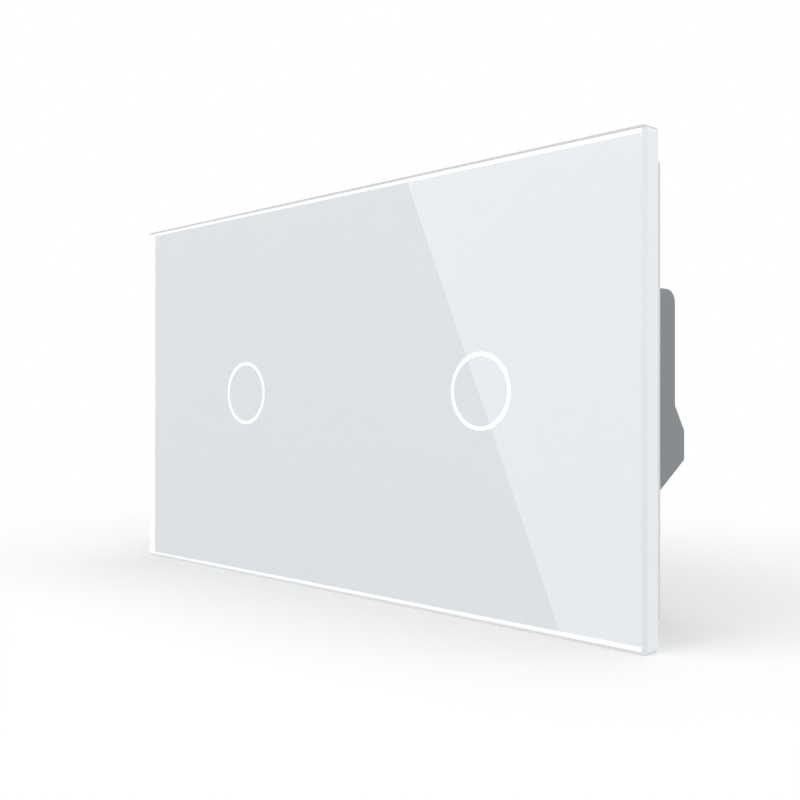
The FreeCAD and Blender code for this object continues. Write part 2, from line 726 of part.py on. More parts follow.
def make_filter_capacitor(side, sign):
    body = new_body("filter_capacitor_" + side, "%s + cap_side" % gang(sign), POWER_BACK, "cap_rise")
    foot = front_sketch(body, "cap_foot_" + side, "0")
    draw_rectangle(foot, "0", "0", "cap_width", "cap_thick")
    can = pad(body, "cap_can_" + side, foot, "cap_height", reverse=True)
    dress(body, "Fillet", "cap_edges_" + side, can, lambda edge: runs_along(edge, "y"), Radius="edge_bevel")
    keep(body, "filter_capacitor_" + side)


# Bent aluminium heat sink behind the two power transistors
def make_heat_sink(side, sign):
    body = new_body("heat_sink_" + side, "%s + sink_side" % gang(sign), POWER_BACK, "sink_rise")
    bend = side_sketch(body, "sink_profile_" + side)
    draw_polygon(bend, (
        ("0", "0"), (SINK_DEPTH, "0"), (SINK_DEPTH, "sink_fold"),
        (SINK_DEPTH + " - sink_thick", "sink_fold"), (SINK_DEPTH + " - sink_thick", "sink_thick"),
        ("0", "sink_thick")))
    pad(body, "sink_sheet_" + side, bend, "sink_width", both=True)
    keep(body, "heat_sink_" + side)


def make_power_transistors(side, sign):
    cases = []
    for index, way in enumerate(("-", "+")):
        x = "%s + sink_side %s fet_pitch / 2" % (gang(sign), way)
        case = new_box("fet_case_%s_%d" % (side, index + 1), x, "%s + fet_lead" % POWER_BACK,
                       "sink_rise + sink_thick + fet_thick / 2", "fet_width", "fet_height", "fet_thick")
        leads = [new_box("fet_lead_%s_%d_%d" % (side, index + 1, lead + 2),
                         "%s + %d * fet_width / 3" % (x, lead), POWER_BACK,
                         "sink_rise + sink_thick + fet_thick / 2", "fet_lead_width", "fet_lead",
                         "fet_lead_width") for lead in (-1, 0, 1)]
        cases.append(fuse("fet_%s_%d" % (side, index + 1), [case] + leads))
    keep(group("power_transistors_" + side, cases), "power_transistors_" + side)


def make_fuse(side, sign):
    item = new_cylinder("fuse_" + side, "%s - fuse_side" % gang(sign), POWER_BACK, "fuse_rise",
                        "fuse_radius", "fuse_height")
    keep(item, "fuse_" + side)


# Terminal block: moulded insulator with a chamber, a wire throat and a bar slot for each terminal
def make_terminal_block(side, sign):
    body = new_body("terminal_block_" + side, gang(sign))
    edge = housing_profile("(housing_wall + block_clear)")
    slant = "(block_top - bulge_start) * %s / %s" % (edge["run"], edge["rise"])
    start = "housing_depth + %s - (housing_wall + block_clear) * %s / %s" % (
        slant, edge["slope"], edge["rise"])
    outline = side_sketch(body, "block_profile_" + side)
    draw_polygon(outline, (
        (POWER_BACK, edge["floor"]), (edge["turn"], edge["floor"]), (edge["bulge"], edge["foot"]),
        (edge["bulge"], edge["shoulder"]), (start, "-block_top"), (POWER_BACK, "-block_top")))
    pad(body, "block_body_" + side, outline, "block_width", both=True)
    chambers = new_sketch(body, "block_chambers_" + side, "XY_Plane", edge["floor"])
    throats = front_sketch(body, "block_throats_" + side, edge["bulge"])
    slots = front_sketch(body, "block_slots_" + side, POWER_BACK)
    for x in terminal_spots():
        draw_rectangle(chambers, x, "terminal_depth", "cage_width + 2 * cage_clear",
                       "cage_depth + 2 * cage_clear")
        draw_circle(throats, x, "-wire_level", "throat_radius")
        draw_rectangle(slots, x, "%s - bar_thick / 2" % BAR_TOP, "bar_width + 2 * bar_clear",
                       "bar_thick + 2 * bar_clear")
    top = "%s + cage_top + cage_clear" % CAGE_ROOF
    pocket(body, "block_chamber_set_" + side, chambers, "%s - (%s)" % (top, edge["floor"]), reverse=True)
    pocket(body, "block_throat_set_" + side, throats, "%s - terminal_depth" % edge["bulge"], reverse=True)
    pocket(body, "block_slot_set_" + side, slots, "terminal_depth - %s" % POWER_BACK)
    keep(body, "terminal_block_" + side)


# Brass bars that the wires are clamped on, each with a tail to the power board
def make_contact_bars(side, sign):
    bars = []
    for index, spot in enumerate(terminal_spots()):
        x = "%s + %s" % (gang(sign), spot)
        name = "bar_%s_%d" % (side, index + 1)
        shoulder = "terminal_depth - cage_depth / 2 - cage_clear"
        blade = new_box(name + "_blade", x, shoulder, "%s - bar_thick / 2" % BAR_TOP,
                        "bar_width", "bar_end - (%s)" % shoulder, "bar_thick")
        tail = new_box(name + "_tail", x, POWER_BACK, "%s - bar_thick / 2" % BAR_TOP,
                       "bar_tail", "%s - %s" % (shoulder, POWER_BACK), "bar_thick")
        bars.append(fuse(name, [blade, tail]))
    keep(group("contact_bars_" + side, bars), "contact_bars_" + side)


# Clamp cage: a threaded floor, two cheeks and a roof that draws the wire down on the bar
def make_clamp_cage(side, sign, index, spot):
    label = "clamp_cage_%s_%d" % (side, index + 1)
    body = new_body(label, "%s + %s" % (gang(sign), spot), "terminal_depth")
    loop = front_sketch(body, label + "_loop", "cage_depth / 2")
    roof = "%s + cage_top" % CAGE_ROOF
    draw_rectangle(loop, "0", "(%s + %s) / 2" % (roof, CAGE_BOTTOM), "cage_width",
                   "%s - %s" % (roof, CAGE_BOTTOM))
    block = pad(body, label + "_block", loop, "cage_depth")
    dress(body, "Fillet", label + "_edges", block, lambda edge: runs_along(edge, "y"), Radius="cage_side")
    window = front_sketch(body, label + "_window", "cage_depth / 2")
    draw_rectangle(window, "0", "(%s + %s) / 2" % (CAGE_ROOF, CAGE_FLOOR), "cage_width - 2 * cage_side",
                   "%s - %s" % (CAGE_ROOF, CAGE_FLOOR))
    pocket(body, label + "_opening", window, "cage_depth", reverse=True)
    thread = new_sketch(body, label + "_thread", "XY_Plane", CAGE_BOTTOM)
    draw_circle(thread, "0", "0", "thread_radius + thread_clear")
    pocket(body, label + "_tap", thread, "cage_base", reverse=True)
    keep(body, label)


# Clamp screw: its tip bears on the bar, its slotted head faces down into the access hole
def make_terminal_screw(side, sign, index, spot):
    label = "terminal_screw_%s_%d" % (side, index + 1)
    body = new_body(label, "%s + %s" % (gang(sign), spot), "terminal_depth")
    profile = new_sketch(body, label + "_profile", "XZ_Plane")
    foot = "%s - clamp_head_thick" % CLAMP_HEAD
    draw_polygon(profile, (
        ("0", foot), ("clamp_head_radius", foot), ("clamp_head_radius", CLAMP_HEAD),
        ("thread_radius", CLAMP_HEAD), ("thread_radius", "%s - tip_taper" % TIP),
        ("tip_radius", TIP), ("0", TIP)))
    revolve(body, label + "_turned", profile, "V_Axis")
    slot = new_sketch(body, label + "_slot", "XY_Plane", foot)
    draw_rectangle(slot, "0", "0", "2.5 * clamp_head_radius", "clamp_slot")
    pocket(body, label + "_cut", slot, "clamp_slot_depth", reverse=True)
    keep(body, label)


# Four self-tapping screws that hold cover, plate and housing together
def make_cover_screws(side, sign):
    screws = []
    for index, (x, z) in enumerate((("-", "-"), ("", "-"), ("-", ""), ("", ""))):
        name = "cover_screw_%s_%d" % (side, index + 1)
        body = new_body(name, "%s + %s%s" % (gang(sign), x, SCREW_SPREAD), HEAD_SEAT, z + "screw_rise")
        profile = side_sketch(body, name + "_profile")
        shank = "screw_radius - tip_gap"
        tip = "screw_reach - %s" % HEAD_SEAT
        draw_polygon(profile, (
            ("-head_thick", "0"), ("%s" % tip, "0"), ("%s - 2 * screw_radius" % tip, shank),
            ("0", shank), ("0", "head_radius"), ("-head_thick / 2", "head_radius"),
            ("-head_thick", "head_radius * 0.7")))
        revolve(body, name + "_turned", profile, "H_Axis")
        slot = front_sketch(body, name + "_slot", "-head_thick")
        draw_rectangle(slot, "0", "0", "3 * head_radius", "screw_slot")
        pocket(body, name + "_cut", slot, "head_thick / 2")
        screws.append(body)
    keep(group("cover_screws_" + side, screws), "cover_screws_" + side)


def make_insert(side, sign):
    for make in (make_mounting_plate, make_front_cover, make_light_guide, make_touch_electrode,
                 make_touch_board, make_indicator_leds, make_touch_chips, make_rear_housing,
                 make_power_board, make_board_header, make_choke, make_filter_capacitor,
                 make_heat_sink, make_power_transistors, make_fuse, make_terminal_block,
                 make_contact_bars, make_cover_screws):
        make(side, sign)
    for index, spot in enumerate(terminal_spots()):
        make_clamp_cage(side, sign, index, spot)
        make_terminal_screw(side, sign, index, spot)


# Nothing is written unless every object is sound
def check_document():
    for item in doc.Objects:
        if {"Invalid", "Error"} & set(item.State):
            raise ValueError("%s is %s" % (item.Name, item.State))
        if item.TypeId in ("PartDesign::Pocket", "PartDesign::Pad") and item.BaseFeature:
            change = item.Shape.Volume - item.BaseFeature.Shape.Volume
            if change * (1 if item.TypeId.endswith("Pad") else -1) < 1e-6:
                raise ValueError("%s changes nothing" % item.Name)
    for item in pieces:
        if item.Shape.isNull() or not item.Shape.isValid() or not item.Shape.Solids:
            raise ValueError("%s has no sound solid" % item.Label)


make_glass_panel()
make_back_print()
make_touch_rings()
make_panel_frame()
for side, sign in SIDES:
    make_insert(side, sign)
doc.recompute()
check_document()

os.makedirs("parts", exist_ok=True)
for item in pieces:
    item.Shape.exportStep("parts/%s.step" % item.Label)
print("%d sub-parts, %d solids" % (len(pieces), sum(len(item.Shape.Solids) for item in pieces)))
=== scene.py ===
import json
import math

import bmesh
import bpy
from mathutils import Matrix, Vector


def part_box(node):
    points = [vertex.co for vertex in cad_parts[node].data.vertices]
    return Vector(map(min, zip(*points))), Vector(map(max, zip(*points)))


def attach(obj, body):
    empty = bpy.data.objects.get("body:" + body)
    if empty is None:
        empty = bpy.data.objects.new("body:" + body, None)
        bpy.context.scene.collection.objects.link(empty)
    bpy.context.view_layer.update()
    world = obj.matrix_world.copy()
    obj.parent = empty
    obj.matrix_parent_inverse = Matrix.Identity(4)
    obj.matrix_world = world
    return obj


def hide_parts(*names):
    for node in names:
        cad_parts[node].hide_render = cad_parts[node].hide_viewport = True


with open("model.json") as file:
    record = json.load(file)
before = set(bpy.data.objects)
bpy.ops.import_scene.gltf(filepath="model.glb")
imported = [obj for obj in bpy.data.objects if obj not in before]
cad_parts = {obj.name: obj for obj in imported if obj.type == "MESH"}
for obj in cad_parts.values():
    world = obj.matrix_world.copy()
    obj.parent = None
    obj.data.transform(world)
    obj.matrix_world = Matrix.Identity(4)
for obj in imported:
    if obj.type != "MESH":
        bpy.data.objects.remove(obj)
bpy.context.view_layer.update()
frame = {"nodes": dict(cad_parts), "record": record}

FLOOR = -0.0415
GLASS_FRONT = -0.01
WHITE = (1.0, 1.0, 1.0, 1.0)
WHOLE_RANGE = (0.0, 1.0)
QUARTERS = ((1, 1), (-1, 1), (-1, -1), (1, -1))


def opaque(colour):
    return tuple(colour) + (1.0,)


def add_object(name, data):
    piece = bpy.data.objects.new(name, data)
    bpy.context.scene.collection.objects.link(piece)
    return piece


def mesh_of(name, shape):
    mesh = bpy.data.meshes.new(name)
    shape.to_mesh(mesh)
    shape.free()
    return mesh


# Surface detail: noise, mottled colour, spread of gloss and fine relief
def new_material(name):
    mat = bpy.data.materials.new(name)
    mat.use_nodes = True
    return mat, mat.node_tree.nodes, mat.node_tree.links, mat.node_tree.nodes["Principled BSDF"]


def noise(nodes, links, scale, stretch=(1, 1, 1), detail=3.0, roughness=0.55):
    coords = nodes.new("ShaderNodeTexCoord")
    mapping = nodes.new("ShaderNodeMapping")
    mapping.inputs["Scale"].default_value = stretch
    texture = nodes.new("ShaderNodeTexNoise")
    texture.inputs["Scale"].default_value = scale
    texture.inputs["Detail"].default_value = detail
    texture.inputs["Roughness"].default_value = roughness
    links.new(coords.outputs["Object"], mapping.inputs["Vector"])
    links.new(mapping.outputs["Vector"], texture.inputs["Vector"])
    return texture.outputs["Fac"]


def mottled(nodes, links, source, colour, amount, span=(0.3, 0.7)):
    colours = nodes.new("ShaderNodeValToRGB")
    for element, place, factor in zip(colours.color_ramp.elements, span, (1 - amount, 1 + amount)):
        element.position = place
        element.color = opaque(min(1.0, channel * factor) for channel in colour)
    links.new(source, colours.inputs["Fac"])
    return colours.outputs["Color"]


def spread(nodes, links, source, low, high, span=(0.3, 0.7)):
    limits = nodes.new("ShaderNodeMapRange")
    limits.inputs["From Min"].default_value = span[0]
    limits.inputs["From Max"].default_value = span[1]
    limits.inputs["To Min"].default_value = low
    limits.inputs["To Max"].default_value = high
    links.new(source, limits.inputs["Value"])
    return limits.outputs["Result"]


def bump(nodes, links, source, strength, distance):
    relief = nodes.new("ShaderNodeBump")
    relief.inputs["Strength"].default_value = strength
    relief.inputs["Distance"].default_value = distance
    links.new(source, relief.inputs["Height"])
    return relief.outputs["Normal"]


def math_node(nodes, links, operation, first, second):
    step = nodes.new("ShaderNodeMath")
    step.operation = operation
    links.new(first, step.inputs[0])
    links.new(second, step.inputs[1])
    return step.outputs["Value"]


def surface_mix(nodes, links, factor, first, second):
    mix = nodes.new("ShaderNodeMixShader")
    links.new(factor, mix.inputs["Fac"])
    links.new(first, mix.inputs[1])
    links.new(second, mix.inputs[2])
    links.new(mix.outputs["Shader"], nodes["Material Output"].inputs["Surface"])


# Moulded plastic: faint clouding, a fine eroded grain and a little spread in gloss
CLOUD_SCALE = 45.0
GRAIN_DEPTH = 0.000012


def moulded(name, colour, rough=(0.42, 0.55), grain=4200.0, strength=0.35, cloud=0.03, coat=0.0):
    mat, nodes, links, shader = new_material(name)
    clouds = noise(nodes, links, CLOUD_SCALE, detail=4.0)
    links.new(mottled(nodes, links, clouds, colour, cloud), shader.inputs["Base Color"])
    fine = noise(nodes, links, grain, detail=2.0)
    links.new(spread(nodes, links, fine, *rough), shader.inputs["Roughness"])
    links.new(bump(nodes, links, fine, strength, GRAIN_DEPTH), shader.inputs["Normal"])
    shader.inputs["Coat Weight"].default_value = coat
    return mat


# Metal: streaks along one axis, blotches of plating, small dents
PATCH_SCALE = 160.0
PATCH_CONTRAST = 0.08
STREAK_SCALE = 260.0
STREAK_STRENGTH = 0.25
STREAK_DEPTH = 0.00001


def metal(name, colour, rough=(0.22, 0.38), streak=(1, 1, 60)):
    mat, nodes, links, shader = new_material(name)
    shader.inputs["Metallic"].default_value = 1.0
    patches = noise(nodes, links, PATCH_SCALE, detail=5.0, roughness=0.6)
    links.new(mottled(nodes, links, patches, colour, PATCH_CONTRAST), shader.inputs["Base Color"])
    lines = noise(nodes, links, STREAK_SCALE, stretch=streak, detail=2.0)
    links.new(spread(nodes, links, lines, *rough), shader.inputs["Roughness"])
    links.new(bump(nodes, links, lines, STREAK_STRENGTH, STREAK_DEPTH), shader.inputs["Normal"])
    return mat


# Clear glass: refracts what is seen through it, lets light through to the print behind
GLASS_IOR = 1.52
FILM_SCALE = 60.0
FILM_ROUGHNESS = (0.0, 0.012)


def clear_glass(name, colour):
    mat, nodes, links, shader = new_material(name)
    shader.inputs["Base Color"].default_value = opaque(colour)
    shader.inputs["IOR"].default_value = GLASS_IOR
    shader.inputs["Transmission Weight"].default_value = 1.0
    film = noise(nodes, links, FILM_SCALE, detail=4.0)
    links.new(spread(nodes, links, film, *FILM_ROUGHNESS, span=(0.5, 0.75)), shader.inputs["Roughness"])
    rays = nodes.new("ShaderNodeLightPath").outputs
    either = math_node(nodes, links, "MAXIMUM", rays["Is Shadow Ray"], rays["Is Diffuse Ray"])
    clear = nodes.new("ShaderNodeBsdfTransparent")
    clear.inputs["Color"].default_value = opaque(channel ** 0.5 for channel in colour)
    surface_mix(nodes, links, either, shader.outputs["BSDF"], clear.outputs["BSDF"])
    return mat


# Ground edge of the glass: matt and white from outside, and from inside it lets the light out
GRIT_SCALE = 2600.0
GRIT_CONTRAST = 0.015
GRIT_STRENGTH = 0.12
GRIT_DEPTH = 0.000004


def ground_glass(name, colour):
    mat, nodes, links, shader = new_material(name)
    grit = noise(nodes, links, GRIT_SCALE)
    whites = mottled(nodes, links, grit, colour, GRIT_CONTRAST, span=(0.25, 0.75))
    links.new(whites, shader.inputs["Base Color"])
    links.new(spread(nodes, links, grit, 0.38, 0.5), shader.inputs["Roughness"])
    links.new(bump(nodes, links, grit, GRIT_STRENGTH, GRIT_DEPTH), shader.inputs["Normal"])
    side = nodes.new("ShaderNodeNewGeometry")
    clear = nodes.new("ShaderNodeBsdfTransparent")
    surface_mix(nodes, links, side.outputs["Backfacing"], shader.outputs["BSDF"], clear.outputs["BSDF"])
    return mat


# White enamel fired on glass: even, with faint pigment mottling and pinholes
PIGMENT_SCALE = 900.0
PIGMENT_CONTRAST = 0.003
PIGMENT_STRENGTH = 0.03
PIGMENT_DEPTH = 0.000002


def enamel(name, colour, painted_glow=0.0):
    mat, nodes, links, shader = new_material(name)
    pigment = noise(nodes, links, PIGMENT_SCALE, detail=5.0, roughness=0.65)
    links.new(mottled(nodes, links, pigment, colour, PIGMENT_CONTRAST), shader.inputs["Base Color"])
    links.new(spread(nodes, links, pigment, 0.5, 0.62), shader.inputs["Roughness"])
    links.new(bump(nodes, links, pigment, PIGMENT_STRENGTH, PIGMENT_DEPTH), shader.inputs["Normal"])
    shader.inputs["Specular IOR Level"].default_value = 0.0
    # The glow is painted light: the ring is print on the glass, not a lamp.
    if painted_glow:
        shader.inputs["Emission Color"].default_value = WHITE
        shader.inputs["Emission Strength"].default_value = painted_glow
    return mat


# Printed circuit board: solder mask over copper tracks, with tinned pads
TRACK_SCALE = 240.0
TRACK_STRENGTH = 0.4
TRACK_DEPTH = 0.00003
PAD_SCALE = 330.0
PAD_EDGE = (0.10, 0.13)
MASK_DARK = (0.010, 0.085, 0.028, 1)
MASK_GREEN = (0.012, 0.105, 0.035, 1)
TRACK_GREEN = (0.035, 0.21, 0.07, 1)
PAD_TIN = (0.62, 0.6, 0.55, 1)


def circuit_board(name):
    mat, nodes, links, shader = new_material(name)
    coords = nodes.new("ShaderNodeTexCoord")
    turn = nodes.new("ShaderNodeMapping")
    turn.inputs["Rotation"].default_value = (math.radians(90), 0, 0)
    links.new(coords.outputs["Object"], turn.inputs["Vector"])
    tracks = nodes.new("ShaderNodeTexBrick")
    tracks.inputs["Scale"].default_value = TRACK_SCALE
    tracks.inputs["Mortar Size"].default_value = 0.05
    tracks.inputs["Mortar Smooth"].default_value = 0.1
    tracks.inputs["Color1"].default_value = MASK_GREEN
    tracks.inputs["Color2"].default_value = MASK_DARK
    tracks.inputs["Mortar"].default_value = TRACK_GREEN
    links.new(turn.outputs["Vector"], tracks.inputs["Vector"])
    pads = nodes.new("ShaderNodeTexVoronoi")
    pads.inputs["Scale"].default_value = PAD_SCALE
    links.new(turn.outputs["Vector"], pads.inputs["Vector"])
    dots = spread(nodes, links, pads.outputs["Distance"], 1.0, 0.0, span=PAD_EDGE)
    mix = nodes.new("ShaderNodeMix")
    mix.data_type = "RGBA"
    links.new(dots, mix.inputs["Factor"])
    links.new(tracks.outputs["Color"], mix.inputs["A"])
    mix.inputs["B"].default_value = PAD_TIN
    links.new(mix.outputs["Result"], shader.inputs["Base Color"])
    links.new(dots, shader.inputs["Metallic"])
    shader.inputs["Roughness"].default_value = 0.32
    relief = bump(nodes, links, tracks.outputs["Fac"], TRACK_STRENGTH, TRACK_DEPTH)
    links.new(relief, shader.inputs["Normal"])
    return mat


MATERIALS = {
    "clear_glass": clear_glass("clear_glass", (0.975, 0.983, 0.985)),
    "white_enamel": enamel("white_enamel", (0.719, 0.749, 0.772)),
    # The printed ring's glow is painted light.
    "ring_white": enamel("ring_white", (0.93, 0.93, 0.93), painted_glow=0.12),
    "white_plastic": moulded("white_plastic", (0.637, 0.646, 0.655)),
    "zinc_steel": metal("zinc_steel", (0.66, 0.67, 0.69), streak=(1, 1, 50)),
    "cover_plastic": moulded("cover_plastic", (0.60, 0.61, 0.62)),
    "lens_plastic": moulded("lens_plastic", (0.82, 0.86, 0.9), rough=(0.12, 0.2), strength=0.1),
    "tinned_copper": metal("tinned_copper", (0.72, 0.68, 0.62), rough=(0.18, 0.3)),
    "circuit_board": circuit_board("circuit_board"),
    "lamp_resin": moulded("lamp_resin", (0.85, 0.8, 0.5), rough=(0.15, 0.25), strength=0.1),
    "black_resin": moulded("black_resin", (0.02, 0.02, 0.022), rough=(0.5, 0.62)),
    "grey_plastic": moulded("grey_plastic", (0.203, 0.219, 0.228), rough=(0.46, 0.6), cloud=0.02),
    "ferrite": moulded("ferrite", (0.035, 0.035, 0.038), rough=(0.6, 0.75), grain=2500.0),
    "copper_wire": metal("copper_wire", (0.62, 0.26, 0.09), rough=(0.25, 0.35), streak=(1, 40, 1)),
    "capacitor_case": moulded("capacitor_case", (0.55, 0.3, 0.03), rough=(0.35, 0.45)),
    "bare_aluminium": metal("bare_aluminium", (0.78, 0.79, 0.8), rough=(0.25, 0.4), streak=(50, 1, 1)),
    "fuse_glass": moulded("fuse_glass", (0.7, 0.72, 0.7), rough=(0.05, 0.12), strength=0.05, coat=0.5),
    "terminal_plastic": moulded("terminal_plastic", (0.07, 0.075, 0.08)),
    "brass_bar": metal("brass_bar", (0.75, 0.52, 0.2), rough=(0.2, 0.32)),
    "screw_steel": metal("screw_steel", (0.62, 0.63, 0.64), rough=(0.2, 0.34), streak=(40, 1, 1)),
    "cage_steel": metal("cage_steel", (0.6, 0.6, 0.62), rough=(0.25, 0.4)),
}

for entry in frame["record"]["subparts"]:
    piece = frame["nodes"][entry["node"]]
    for place in piece.material_slots:
        place.link = "OBJECT"
        place.material = MATERIALS[entry["material_slot"]]


# A closed solid through outlines of equal length, and its side faces, band by band
def loft(outlines):
    shape = bmesh.new()
    loops = [[shape.verts.new(point) for point in outline] for outline in outlines]
    bands = []
    for first, second in zip(loops, loops[1:]):
        band = []
        for here in range(len(first)):
            there = (here + 1) % len(first)
            band.append(shape.faces.new((first[here], first[there], second[there], second[here])))
        bands.append(band)
    shape.faces.new(loops[0])
    shape.faces.new(loops[-1])
    bmesh.ops.recalc_face_normals(shape, faces=shape.faces)
    return shape, bands


# Glass slab: polished faces, ground bevels and sides, its back touching the print
EDGE_BEVEL = 0.0006
BACK_ARRIS = 0.00025
SOFT_RIM = 0.00004
PRINT_CONTACT = 0.00001
CORNER = 0.00078
CORNER_STEPS = 8
SIDEWAYS = 0.3
BEVEL_BANDS = 3

# The polished faces have the first material. The ground edges have four copies of the ground glass whose
# colours hold painted shade and painted light: the top bevel is painted darkest and the short bevels darker,
# while the sides and the low bevel are painted lighter.
TOP_EDGE, LOW_EDGE, SHORT_EDGE, SIDE_EDGE = range(1, 5)
GLASS_SURFACES_WITH_PAINTED_SHADE = (
    MATERIALS["clear_glass"],
    ground_glass("ground_top_bevel_painted_shade", (0.51, 0.52, 0.525)),
    ground_glass("ground_low_bevel_painted_light", (0.88, 0.895, 0.9)),
    ground_glass("ground_short_bevel_painted_shade", (0.69, 0.718, 0.74)),
    ground_glass("ground_side_painted_light", (0.81, 0.845, 0.868)),
)


def rounded_loop(half_wide, half_tall, radius):
    points = []
    for turn, (way, up) in enumerate(QUARTERS):
        for step in range(CORNER_STEPS + 1):
            angle = math.pi / 2 * (turn + step / CORNER_STEPS)
            points.append((way * (half_wide - radius) + radius * math.cos(angle),
                           up * (half_tall - radius) + radius * math.sin(angle)))
    return points


# Each edge takes the ground glass copy with the painted shade or painted light set for it. Of the sides, only
# the rounds at the top corners take the top bevel's painted shade.
def edge_painted_shade(run, middle, bevel, corner_start):
    sideways = abs(run.x) > SIDEWAYS
    if bevel and sideways:
        return TOP_EDGE if middle.z > 0 else LOW_EDGE
    if bevel:
        return SHORT_EDGE
    top_corner = sideways and abs(middle.x) > corner_start and middle.z > 0
    return TOP_EDGE if top_corner else SIDE_EDGE


def make_glass():
    low, high = (Vector(corner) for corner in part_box("glass_panel"))
    half_wide, half_tall = (high.x - low.x) / 2, (high.z - low.z) / 2
    levels = ((EDGE_BEVEL + SOFT_RIM, low.y),
              (EDGE_BEVEL - SOFT_RIM / 2, low.y + SOFT_RIM / 2),
              (SOFT_RIM / 2, low.y + EDGE_BEVEL - SOFT_RIM / 2),
              (0.0, low.y + EDGE_BEVEL + SOFT_RIM),
              (0.0, high.y - BACK_ARRIS),
              (BACK_ARRIS, high.y + PRINT_CONTACT))
    outlines = []
    for inset, level in levels:
        rim = rounded_loop(half_wide - inset, half_tall - inset, CORNER - inset)
        outlines.append([Vector((x, level, z)) for x, z in rim])
    shape, bands = loft(outlines)
    for index, (outline, band) in enumerate(zip(outlines, bands)):
        for here, face in enumerate(band):
            run = (outline[(here + 1) % len(outline)] - outline[here]).normalized()
            face.material_index = edge_painted_shade(run, face.calc_center_median(), index < BEVEL_BANDS,
                                              half_wide - CORNER)
    mesh = mesh_of("glass_slab", shape)
    for glass_surface in GLASS_SURFACES_WITH_PAINTED_SHADE:
        mesh.materials.append(glass_surface)
    piece = add_object("glass_slab", mesh)
    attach(piece, "panel")
    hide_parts("glass_panel")


make_glass()


# Rear housings: eased rims at the wire and screw holes, and the round dimple of the moulding gate
HOUSING_BACK = 0.02185
BULGE_BACK = 0.0251
HOUSING_FLOOR = -0.019
WIRE_LEVEL = -0.01
WIRE_RADIUS = 0.0018
SCREW_DEPTH = 0.0115
SCREW_RADIUS = 0.0026
TERMINAL_PITCH = 0.009
GATE_LEVEL = 0.0095
GATE_RADIUS = 0.0019
GATE_DEPTH = 0.0004
EASED = 0.0007
OVERLAP = 0.0002
CIRCLE_STEPS = 48
SAME_POINT = 1e-7
SHARP_ANGLE = math.radians(30)
FULL_WEIGHT = 100


# A cone with a slope of 45 degrees, from just outside a surface down to its depth below it
def cone(radius, depth, place):
    outlines = []
    for sink in (-OVERLAP, depth):
        turns = [2 * math.pi * step / CIRCLE_STEPS for step in range(CIRCLE_STEPS)]
        outlines.append([place((radius - sink) * math.cos(turn), (radius - sink) * math.sin(turn), sink)
                         for turn in turns])
    return add_object("cutter", mesh_of("cutter", loft(outlines)[0]))


def housing_cutters(middle):
    tools = [cone(GATE_RADIUS, GATE_DEPTH,
                  lambda x, z, sink: (middle + x, HOUSING_BACK - sink, GATE_LEVEL + z))]
    for centre in (middle - TERMINAL_PITCH, middle, middle + TERMINAL_PITCH):
        tools.append(cone(WIRE_RADIUS + EASED, EASED + OVERLAP,
                          lambda x, z, sink: (centre + x, BULGE_BACK - sink, WIRE_LEVEL + z)))
        tools.append(cone(SCREW_RADIUS + EASED, EASED + OVERLAP,
                          lambda x, y, sink: (centre + x, SCREW_DEPTH + y, HOUSING_FLOOR + sink)))
    return tools


def make_housing(side):
    shape = bmesh.new()
    shape.from_mesh(frame["nodes"]["rear_housing_" + side].data)
    bmesh.ops.remove_doubles(shape, verts=shape.verts, dist=SAME_POINT)
    piece = add_object("housing_shell_" + side, mesh_of("housing_shell_" + side, shape))
    low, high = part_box("rear_housing_" + side)
    tools = housing_cutters((low[0] + high[0]) / 2)
    for tool in tools:
        cut = piece.modifiers.new("cut", "BOOLEAN")
        cut.object = tool
        cut.operation = "DIFFERENCE"
        cut.solver = "EXACT"
    seen = piece.evaluated_get(bpy.context.evaluated_depsgraph_get())
    carved = bpy.data.meshes.new_from_object(seen)
    piece.modifiers.clear()
    piece.data = carved
    for tool in tools:
        bpy.data.objects.remove(tool)
    carved.materials.clear()
    carved.materials.append(MATERIALS["grey_plastic"])
    carved.shade_smooth()
    carved.set_sharp_from_angle(angle=SHARP_ANGLE)
    even = piece.modifiers.new("even_normals", "WEIGHTED_NORMAL")
    even.keep_sharp = True
    even.weight = FULL_WEIGHT
    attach(piece, "inserts")
    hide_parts("rear_housing_" + side)


for side in ("left", "right"):
    make_housing(side)

# Camera in front of the panel, past its right end, at the height of the rings
CAMERA_PLACE = (0.16253, -0.14895, -0.00159)
CAMERA_TURN = math.radians(45.855)
SENSOR_WIDTH = 36.0
LENS = 46.459
NEAREST = 0.01
FARTHEST = 50.0

camera_data = bpy.data.cameras.new("camera")
camera_data.sensor_width = SENSOR_WIDTH
camera_data.lens = LENS
camera_data.clip_start = NEAREST
camera_data.clip_end = FARTHEST
camera = add_object("camera", camera_data)
camera.location = CAMERA_PLACE
camera.rotation_euler = (math.radians(90), 0, CAMERA_TURN)
bpy.context.scene.camera = camera


def area_light(name, where, axes, size, radiance):
    data = bpy.data.lights.new(name, "AREA")
    data.shape = "RECTANGLE"
    data.size, data.size_y = size
    data.energy = radiance * math.pi * size[0] * size[1]
    lamp = add_object(name, data)
    lamp.matrix_world = Matrix.Translation(where) @ Matrix(axes).transposed().to_4x4()
    lamp.visible_camera = False


# Softbox in front on the left. One long edge is where its reflection ends on the glass.
REFLECTION_ENDS = (Vector((0.02168, GLASS_FRONT, 0.0395)), Vector((0.05684, GLASS_FRONT, -0.03863)))
FRONT_AIM = Vector((-0.652, -0.756, 0.0)).normalized()
FRONT_DISTANCE = 1.0
FRONT_SIZE = (1.0, 1.6)
FRONT_RADIANCE = 1.61


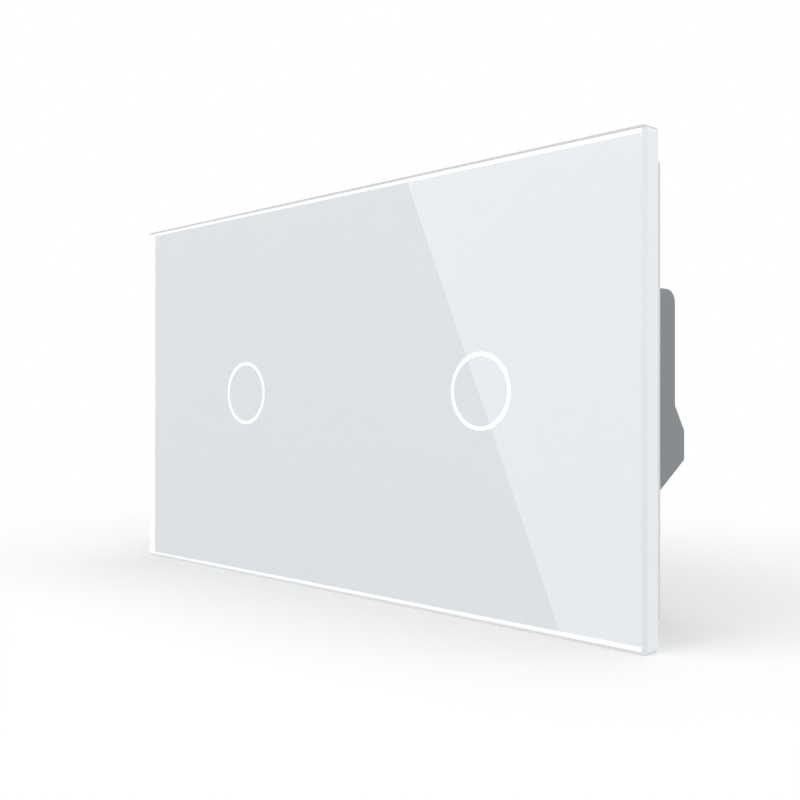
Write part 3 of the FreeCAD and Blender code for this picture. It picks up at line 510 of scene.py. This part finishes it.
def make_front_softbox():
    eye = Vector((CAMERA_PLACE[0], 2 * GLASS_FRONT - CAMERA_PLACE[1], CAMERA_PLACE[2]))
    rays = [seen - eye for seen in REFLECTION_ENDS]
    top, bottom = (eye + ray * (FRONT_DISTANCE / ray.dot(FRONT_AIM)) for ray in rays)
    edge = (top - bottom).normalized()
    across = edge.cross(FRONT_AIM).normalized()
    where = (top + bottom) / 2 + across * FRONT_SIZE[0] / 2
    area_light("softbox", where, (across, edge, FRONT_AIM), FRONT_SIZE, FRONT_RADIANCE)


def make_softbox(name, aim, edge, distance, size, radiance):
    aim = Vector(aim).normalized()
    edge = Vector(edge).normalized()
    across = aim.cross(edge).normalized()
    area_light(name, aim * -distance, (edge, across, -aim), size, radiance)


make_front_softbox()

# Softbox on the right, for the side of the glass and the housing
make_softbox("side_softbox", aim=(-0.93, 0.3, -0.2), edge=(0.3, 0.93, 0.0), distance=0.8,
             size=(0.6, 0.6), radiance=2.2)

# Softbox overhead and a little behind, for the soft shadow in front
make_softbox("top_softbox", aim=(-0.12, -0.33, -0.94), edge=(0.94, 0.0, -0.12), distance=1.2,
             size=(1.2, 0.55), radiance=2.0)


# One where the surroundings are seen, directly or through glass and gloss, and zero elsewhere
def seen_rays(nodes, links):
    rays = nodes.new("ShaderNodeLightPath").outputs
    total = rays["Is Camera Ray"]
    for kind in ("Is Glossy Ray", "Is Transmission Ray"):
        total = math_node(nodes, links, "MAXIMUM", total, rays[kind])
    return total


# World: white where it is seen, a plain even light elsewhere
EVEN_LIGHT = 0.62
SEEN_WHITE = 1.0


def make_world():
    world = bpy.data.worlds.new("world")
    world.use_nodes = True
    bpy.context.scene.world = world
    nodes, links = world.node_tree.nodes, world.node_tree.links
    shine = nodes["Background"]
    shine.inputs["Color"].default_value = WHITE
    strength = spread(nodes, links, seen_rays(nodes, links), EVEN_LIGHT, SEEN_WHITE, span=WHOLE_RANGE)
    links.new(strength, shine.inputs["Strength"])


# Floor: pale, keeps the shadow near the object and runs out into plain white
FLOOR_REACH = 3.0
FLOOR_GREY = (0.86, 0.86, 0.86, 1.0)
FLOOR_LIFT = 0.07
SHADOW_FADE = (0.085, 0.19)


def floor_paint():
    mat, nodes, links, shader = new_material("floor_paint")
    shader.inputs["Base Color"].default_value = FLOOR_GREY
    shader.inputs["Roughness"].default_value = 0.9
    shader.inputs["Specular IOR Level"].default_value = 0.0
    seen = seen_rays(nodes, links)
    lift = nodes.new("ShaderNodeEmission")
    links.new(spread(nodes, links, seen, 0.0, FLOOR_LIFT, span=WHOLE_RANGE), lift.inputs["Strength"])
    lifted = nodes.new("ShaderNodeAddShader")
    links.new(shader.outputs["BSDF"], lifted.inputs[0])
    links.new(lift.outputs["Emission"], lifted.inputs[1])
    plain = nodes.new("ShaderNodeEmission")
    even = spread(nodes, links, seen, EVEN_LIGHT, SEEN_WHITE, span=WHOLE_RANGE)
    links.new(even, plain.inputs["Strength"])
    place = nodes.new("ShaderNodeNewGeometry")
    length = nodes.new("ShaderNodeVectorMath")
    length.operation = "LENGTH"
    links.new(place.outputs["Position"], length.inputs[0])
    fade = spread(nodes, links, length.outputs["Value"], 1.0, 0.0, span=SHADOW_FADE)
    rays = nodes.new("ShaderNodeLightPath").outputs
    shaded = math_node(nodes, links, "MULTIPLY", fade, rays["Is Camera Ray"])
    surface_mix(nodes, links, shaded, plain.outputs["Emission"], lifted.outputs["Shader"])
    return mat


def make_floor():
    mesh = bpy.data.meshes.new("floor")
    corners = [(way * FLOOR_REACH, far * FLOOR_REACH, FLOOR) for way, far in QUARTERS]
    mesh.from_pydata(corners, [], [(0, 1, 2, 3)])
    mesh.materials.append(floor_paint())
    floor = add_object("floor", mesh)
    floor.visible_glossy = False


make_world()
make_floor()

bpy.context.scene.view_settings.view_transform = "Standard"
